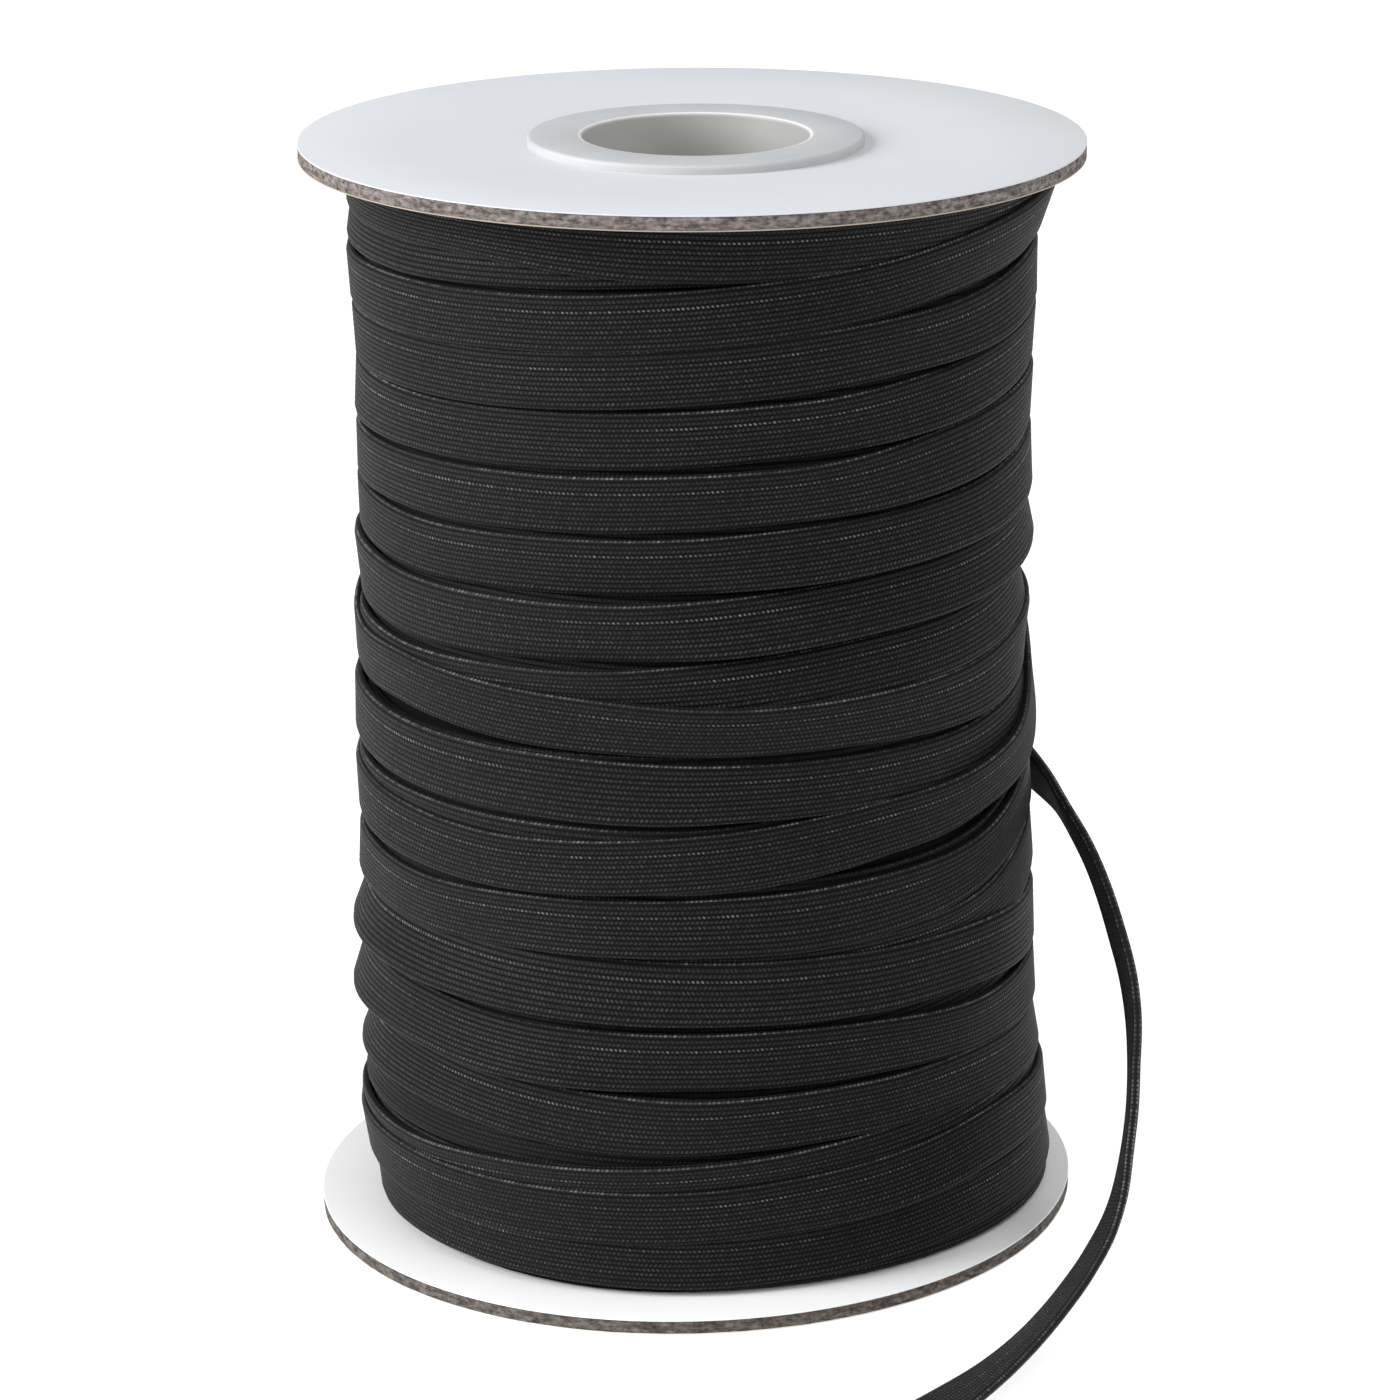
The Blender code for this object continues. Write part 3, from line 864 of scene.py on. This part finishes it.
def turns_between(first, last, count):
    """Evenly spaced hidden turns between two turns."""
    rows = []
    for index in range(1, count + 1):
        share = index / (count + 1)
        heights = [a + (b - a) * share for a, b in zip(first, last)][:len(BEARINGS)]
        rows.append(Turn(*heights, first.laid + share))
    return tuple(rows)


def softened(values, width):
    """Values smoothed over a number of stations."""
    reach = int(3 * width)
    weights = np.exp(-0.5 * (np.arange(-reach, reach + 1) / width) ** 2)
    return np.convolve(np.pad(values, reach, mode="edge"), weights / weights.sum(), mode="valid")


def pulled_taut(radii, floor):
    """A band under tension runs straight between the places that hold it out."""
    shrink = 2 * math.cos(math.radians(STATION))
    for _ in range(TAUT_ROUNDS):
        before, after = radii[:-2], radii[2:]
        radii[1:-1] = np.maximum(floor[1:-1], shrink * before * after / (before + after))
    return radii


class Surface:
    """The roll as it grows, by bearing and height: where the next turn rests, and its outside.

    A turn presses into what it lies on, so it rests a little deeper than the outside.
    """

    def __init__(self, radii):
        self.radii = radii.copy()
        self.outside = radii.copy()

    def read(self, bearing, height):
        column = bearing / STATION
        left = np.floor(column).astype(int)
        share = column - left
        row = np.clip(np.rint(height / ROW).astype(int), 0, ROWS - 1)
        first = self.radii[left % COLUMNS, row]
        return first + (self.radii[(left + 1) % COLUMNS, row] - first) * share

    def cover(self, bearing, height, inner, thickness):
        column = np.rint(bearing / STATION).astype(int) % COLUMNS
        row = np.rint(height / ROW).astype(int)
        inside = (row >= 0) & (row < ROWS)
        place = (column[inside], row[inside])
        thickness = np.broadcast_to(thickness, inner.shape)
        np.maximum.at(self.radii, place, (inner + thickness * PRESSED)[inside])
        np.maximum.at(self.outside, place, (inner + thickness)[inside])


# A place along a strand is in degrees wound, from the right across the front to the left: the
# first turn passes the front at 0 and the next at 360. A strand's own knots are places behind
# the roll or past the ends, each with the height of the upper edge there.
Strand = namedtuple("Strand", "name turns start end knots")
Laid = namedtuple("Laid", "wound height slope width radius lean")


def board_rise(wound):
    """How far the bent lower board lifts the foot of the roll, at a place along a strand."""
    bearing = -np.radians(wound)
    places = [(TYPICAL_RADIUS * math.sin(b), -TYPICAL_RADIUS * math.cos(b)) for b in bearing]
    return np.array([lower_bend(x, y) for x, y in places])


def fitted(wound, raised):
    """Height of the upper edge, and the width as a share of the usual, along a strand.

    A turn is a little wider or narrower to meet the next one, and is squeezed between the boards.
    """
    pitch = raised - np.interp(wound + 360, wound, raised, right=FAR_BELOW)
    weight = np.clip((pitch - MEETS_FROM) / 0.3, 0, 1) * np.clip((MEETS_TO - pitch) / 0.5, 0, 1)
    wide = WOUND_WIDTH + (np.clip(pitch - TURN_GAP, NARROWEST, WIDEST) - WOUND_WIDTH) * weight
    top = np.minimum(raised, TOP_EDGE)
    foot = np.maximum(raised - wide, BOARD_CLEARANCE + board_rise(wound))
    return top, softened(np.clip((top - foot) / BAND_WIDTH, *WIDTH_LIMITS), WIDTH_EASE)


def lay(surface, strand):
    """Lays a strand on the surface, turn by turn in the order it was laid."""
    knots = [(360.0 * i - b, turn[c]) for i, turn in enumerate(strand.turns)
             for c, b in enumerate(BEARINGS)]
    knots = np.array(sorted(knots + list(strand.knots)))
    wound = np.arange(strand.start, strand.end + STATION / 2, STATION)
    raised = through(knots[:, 0], knots[:, 1], wound)
    height, width = fitted(wound, raised)
    slope = np.gradient(height, np.radians(wound) * TYPICAL_RADIUS)
    along = slope / np.sqrt(1 + slope ** 2)
    down = -1 / np.sqrt(1 + slope ** 2)
    radius = np.zeros(len(wound))
    lean = np.zeros(len(wound))
    turn_of = np.clip(np.floor((wound + 180) / 360).astype(int), 0, len(strand.turns) - 1)
    order = sorted(range(len(strand.turns)), key=lambda i: strand.turns[i].laid)
    above = np.where(UPWARD > 0)[0]
    below = np.where(UPWARD <= 0)[0]
    reach = UPWARD[above][:, None] - UPWARD[below][None, :]
    for index in order:
        pick = np.where(turn_of == index)[0]
        bearing = -(wound[pick][:, None] + np.degrees(along[pick][:, None] * ACROSS / TYPICAL_RADIUS))
        level = height[pick][:, None] + (down * width)[pick][:, None] * ACROSS
        held = surface.read(bearing, level) - GIVE
        pairs = (held[:, above][:, :, None] * -UPWARD[below][None, None, :]
                 + held[:, below][:, None, :] * UPWARD[above][None, :, None]) / reach
        best = pairs.reshape(len(pick), -1).argmax(axis=1)
        high, low = np.unravel_index(best, reach.shape)
        each = np.arange(len(pick))
        tilt = (held[each, above[high]] - held[each, below[low]]) / reach[high, low]
        tilt = softened(np.clip(tilt, -STEEPEST_LEAN, STEEPEST_LEAN), LEAN_EASE)
        floor = (held - tilt[:, None] * UPWARD).max(axis=1)
        taut = pulled_taut(floor.copy(), floor)
        out = softened(np.minimum(taut, floor + FARTHEST_BRIDGED), REST_EASE)
        radius[pick] = out
        lean[pick] = tilt
        inner = out[:, None] + tilt[:, None] * UPWARD
        for share in (0.0, 0.5):
            following = np.minimum(each + 1, len(pick) - 1)
            surface.cover(
                bearing + (bearing[following] - bearing) * share,
                level + (level[following] - level) * share,
                inner + (inner[following] - inner) * share,
                OUTER_FACE,
            )
    return Laid(
        wound, height, slope, width, softened(radius, LAID_EASE), softened(lean, LAID_EASE)
    )


def outside_wanted():
    """The radius that the finished roll has, for each bearing and height."""
    heights = np.arange(ROWS) * ROW
    rows = np.array(OUTSIDES)
    left, right, front, layers = (np.interp(heights, rows[:, 0], rows[:, c]) for c in (1, 2, 3, 4))
    bearing = np.radians(np.arange(COLUMNS) * STATION)[:, None]
    sideways = np.sin(bearing)
    middle = np.where(np.cos(bearing) > 0, front, BACK_RADIUS)
    side = np.where(sideways > 0, right, left)
    return middle + (side - middle) * sideways ** 2, layers


def evened(field):
    """A field smoothed over about a third of a band's width and ten degrees of bearing."""
    tall = np.exp(-0.5 * (np.arange(-EVEN_ROWS, EVEN_ROWS + 1) * ROW / EVEN_HEIGHT) ** 2)
    wide = np.exp(-0.5 * (np.arange(-EVEN_COLUMNS, EVEN_COLUMNS + 1) * STATION / EVEN_BEARING) ** 2)
    padded = np.pad(field, ((EVEN_COLUMNS, EVEN_COLUMNS), (0, 0)), mode="wrap")
    field = np.apply_along_axis(lambda c: np.convolve(c, wide / wide.sum(), mode="valid"), 0, padded)
    padded = np.pad(field, ((0, 0), (EVEN_ROWS, EVEN_ROWS)), mode="edge")
    return np.apply_along_axis(lambda c: np.convolve(c, tall / tall.sum(), mode="valid"), 1, padded)


under_turns = (UNDER_TOP,) + turns_between(UNDER_TOP, UNDER_TURNS[0], UNDER_HIDDEN) + UNDER_TURNS
deep_turns = ((DEEP_TOP,) + turns_between(DEEP_TOP, DEEP_TURNS[0], DEEP_HIDDEN) + DEEP_TURNS
              + turns_between(DEEP_TURNS[-1], DEEP_BOTTOM, DEEP_BOTTOM_HIDDEN) + (DEEP_BOTTOM,))
deep_last = 360.0 * (len(deep_turns) - 1)
under_last = 360.0 * (len(under_turns) - 1)
outer_last = 360.0 * (len(OUTER_TURNS) - 1)
LOOSE_END_BEARING = 150.0
LEAVING_RUN = 50.0
loose_end_edge = LOOSE_END_ROUTE[0].z - ROLL_FOOT + BAND_WIDTH / 2
LAST_EDGE = 5.9
STRANDS = (
    Strand("deep", deep_turns, -180.0, deep_last + 180,
           ((-260.0, TOP_EDGE), (deep_last + 200, LAST_EDGE))),
    Strand("under", under_turns, -180.0, under_last + 200,
           ((-260.0, TOP_EDGE), (under_last + 220, LAST_EDGE))),
    Strand("outer", OUTER_TURNS, -220.0, outer_last + 360 - LOOSE_END_BEARING,
           ((-260.0, TOP_EDGE), (outer_last - 268, 62.4), (outer_last - 250, 62.6),
            (outer_last - 110, 60.4), (outer_last - 95, 59.0), (outer_last - 88, 56.8),
            (outer_last + 140, loose_end_edge), (outer_last + 180, loose_end_edge),
            (outer_last + 215, loose_end_edge))),
)

# The turns are laid on a packed core, then laid again on one that is thinner where they came out
# too thick, until the outside is the one wanted.
wanted, layers = outside_wanted()
packed = wanted - BAND_THICKNESS - (layers - 1) * BAND_THICKNESS * PRESSED
for _ in range(PACKING_ROUNDS):
    surface = Surface(packed)
    laid = {strand.name: lay(surface, strand) for strand in STRANDS}
    packed = packed + evened(wanted - surface.outside)


def eased(wound, start, end):
    """0 at start, 1 at end, and soft at both."""
    share = np.clip((wound - start) / (end - start), 0, 1)
    return share * share * (3 - 2 * share)


# Stretches of each strand that lie under other turns, in degrees wound, and how deep they sink.
# The elastic's material paints them darker, as painted shade.
COVERED = {
    "deep": ((-180, 360 * 11 - 150), (360 * 11 + 150, deep_last - 130)),
    "under": ((150, 360 * 8 - 120),),
    "outer": (),
}
COVERED_SINK = 0.4
ROUNDING = 0.01
wound_section = band_section("section_ribbed_outside", False)


def wound_band(name, strand, start, end, stride, sinks, seed):
    """One stretch of a laid strand as a swept band, from start to end in degrees wound."""
    wound, height, slope, width, radius, lean = laid[strand]
    covered = np.zeros(len(wound))
    for first_covered, last_covered in COVERED[strand]:
        covered += eased(wound, first_covered - COVERED_RUN, first_covered)
        covered -= eased(wound, last_covered, last_covered + COVERED_RUN)
    radius = radius - COVERED_SINK * covered
    first, last = wound[0], wound[-1]
    radius = radius + BAND_THICKNESS / 2
    radius = radius - SINK * (1 - eased(wound, first, first + SINK_RUN)) * sinks[0]
    radius = radius - SINK * eased(wound, last - SINK_RUN, last) * sinks[1]
    if strand == "outer":
        leaving = eased(wound, last - LEAVING_RUN, last)
        place = LOOSE_END_ROUTE[0]
        radius = radius + (math.hypot(place.x, place.y) - radius) * leaving
        lean = lean * (1 - leaving)
        height = height + (loose_end_edge - height) * leaving
        slope = slope * (1 - leaving)
        width = width + (1 - width) * leaving
    half = BAND_WIDTH / 2
    tall = np.sqrt(1 + slope ** 2)
    bearing = -np.radians(wound) - slope / tall * half * width / radius
    outward = np.stack((np.sin(bearing), -np.cos(bearing), np.zeros(len(wound))), axis=1)
    onward = np.stack((-np.cos(bearing), -np.sin(bearing), np.zeros(len(wound))), axis=1)
    upright = np.zeros((len(wound), 3))
    upright[:, 2] = 1
    level = ROLL_FOOT + height - half * width / tall
    middles = outward * radius[:, None] + upright * level[:, None]
    rises = unit(upright / tall[:, None] - onward * (slope / tall)[:, None] + outward * lean[:, None])
    travel = unit(np.gradient(middles, axis=0))
    faces = unit(np.cross(rises, travel))
    rises = unit(np.cross(travel, faces))
    run = np.concatenate(([0.0], np.cumsum(np.linalg.norm(np.diff(middles, axis=0), axis=1))))
    pick = np.where((wound >= start - ROUNDING) & (wound <= end + ROUNDING))[0][::stride]
    marks = (run[pick], width[pick], covered[pick])
    piece = band(name, middles[pick], faces[pick], rises[pick], marks, wound_section, WANDER, seed)
    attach(piece, "root")
    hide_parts("winding")


def packed_black():
    """The same braid seen deep between turns, as rows of ribs with painted shade between them."""
    material, shader, start = finish("black_elastic_inner_layers", specular_ior_level=0.1)
    place = start.place()
    rib = (place.part("Z") / (RIB_PITCH * MM)).wave()
    fuzz = place.noise(FUZZ_SCALE, 3.0)
    feed(shader, base_color=(rib * fuzz).blend(YARN_DARK_AND_SHADED, YARN_BLACK), roughness=0.85 + fuzz * 0.1)
    feed(shader, normal=(rib * 0.1 + fuzz * 0.03).bump())
    return material


INNER_ROW_STEP = 8
INNER_COLUMN_STEP = 3
UNDER_DEEP_STRAND = 0.25
TUBE_CLEARANCE = 0.3


def inner_layers():
    """The layers under the deep strand, which only show as black between its turns."""
    low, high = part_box("core_tube")
    rows = np.append(np.arange(0, ROWS, INNER_ROW_STEP), ROWS - 1)
    heights = ROLL_FOOT + np.clip(rows * ROW, BOARD_CLEARANCE, BOARD_SPACE - BOARD_CLEARANCE)
    bearing = np.radians(np.arange(0, COLUMNS, INNER_COLUMN_STEP) * STATION)
    radius = packed[::INNER_COLUMN_STEP][:, rows] - UNDER_DEEP_STRAND
    inner = np.full(2, high.x / MM + TUBE_CLEARANCE)
    columns = []
    for angle, ring_radii in zip(bearing, radius):
        around = np.concatenate((ring_radii[::-1], inner))
        foot = ROLL_FOOT + BOARD_CLEARANCE + float(board_rise(-np.degrees([angle]))[0])
        levels = np.maximum(np.concatenate((heights[::-1], heights[[0, -1]])), foot)
        columns.append([(r * math.sin(angle) * MM, -r * math.cos(angle) * MM, z * MM)
                        for r, z in zip(around, levels)])
    piece = ring("inner_layers", columns, packed_black())
    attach(piece, "root")
    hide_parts("winding")


inner_layers()

# The under strand is made in two stretches, end to end, so that neither mesh is a heavy one. The
# stride takes every station or every second one, and sinks says which end goes in under others.
Stretch = namedtuple("Stretch", "name strand start end stride sinks seed")
UNDER_SPLIT = 360.0 * 8
STRETCHES = (
    Stretch("deep_turns", "deep", -180, deep_last + 180, 2, (1, 1), 2),
    Stretch("under_turns_upper", "under", -180, UNDER_SPLIT, 1, (1, 0), 3),
    Stretch("under_turns_lower", "under", UNDER_SPLIT, under_last + 200, 1, (0, 1), 3),
    Stretch("outer_turns", "outer", -220, outer_last + 360, 1, (1, 0), 4),
)
for stretch in STRETCHES:
    wound_band(*stretch)


# ----------------------------------------------------------------------
# Upper board and hub: a second lined disc on the tube's end, and a second bush with its lip on
# top and its sleeve down in the tube. The bush is pressed in harder and a hair to the right, so
# it has drawn the middle of the board down and its lip stands less proud.
# ----------------------------------------------------------------------
# The upper board's white lining is painted darker than the lower board's, as painted shade
upper_white = board_face("upper_white_lining", (0.63, 0.645, 0.675, 1), (0.61, 0.625, 0.655, 1))
upper_greyboard = cut_greyboard(
    "upper_cut_greyboard", (0.055, 0.047, 0.043, 1), (0.31, 0.272, 0.258, 1)
)
RIM_RADIUS = 37.5
DRAWN_DOWN = 0.6
LIP_SHOWING = 0.87
HUB_PRESSED_IN = 1.23
HUB_ASIDE = 0.35


def upper_bend(x, y):
    """The upper board is drawn down a little in the middle, where the hub is pressed in."""
    share = (RIM_RADIUS - math.hypot(x, y)) / (RIM_RADIUS - FLAT_TO)
    return -DRAWN_DOWN * min(max(share, 0.0), 1.0)


tan_lining = board_face("tan_lining", (0.40, 0.345, 0.29, 1), (0.33, 0.28, 0.23, 1))
upper_linings = (upper_white, tan_lining)
board("upper_board", "top_board", upper_linings, upper_greyboard, seed=12, bend=upper_bend)
hub("upper_hub", "top_hub", 1, lip=LIP_SHOWING, pressed_in=HUB_PRESSED_IN, aside=HUB_ASIDE)


# ----------------------------------------------------------------------
# Floor and light: a plain white sweep that glows, so it shows as the photograph's pale ground,
# a large soft light from the upper left, a weaker one from the right and one from above.
# ----------------------------------------------------------------------
FLOOR_SIZE = 8.0
FLOOR_GREY = (0.35, 0.35, 0.35, 1)
FLOOR_GLOW = 0.86
STUDIO_GLOW = 0.40
WHITE = (1, 1, 1, 1)
floor_mesh = bpy.data.meshes.new("floor")
half = FLOOR_SIZE / 2
floor_corners = [(-half, -half, 0), (half, -half, 0), (half, half, 0), (-half, half, 0)]
floor_mesh.from_pydata(floor_corners, [], [(0, 1, 2, 3)])
floor = bpy.data.objects.new("floor", floor_mesh)
glowing_floor = finish(
    "floor", base_color=FLOOR_GREY, roughness=0.9, specular_ior_level=0.1,
    emission_color=WHITE, emission_strength=FLOOR_GLOW
)[0]
floor_mesh.materials.append(glowing_floor)
scene.collection.objects.link(floor)

world = bpy.data.worlds.new("studio")
scene.world = world
world.use_nodes = True
background = world.node_tree.nodes["Background"]
background.inputs["Color"].default_value = WHITE
background.inputs["Strength"].default_value = STUDIO_GLOW

LIGHT_AIM = Vector((0, 0, 0.055))
SoftLight = namedtuple("SoftLight", "name place size power")
SOFT_LIGHTS = (
    SoftLight("key_light", (-1.1, -0.34, 0.55), 0.7, 21.0),
    SoftLight("fill_light", (0.85, -0.60, 0.60), 0.7, 3.2),
    SoftLight("top_light", (0.30, -0.20, 1.2), 0.8, 4.3),
)
for row in SOFT_LIGHTS:
    lamp = bpy.data.lights.new(row.name, "AREA")
    lamp.shape = "SQUARE"
    lamp.size = row.size
    lamp.energy = row.power
    light = bpy.data.objects.new(row.name, lamp)
    light.location = row.place
    aim = LIGHT_AIM - light.location
    light.rotation_euler = aim.to_track_quat("-Z", "Y").to_euler()
    scene.collection.objects.link(light)
scene.view_settings.view_transform = "Standard"
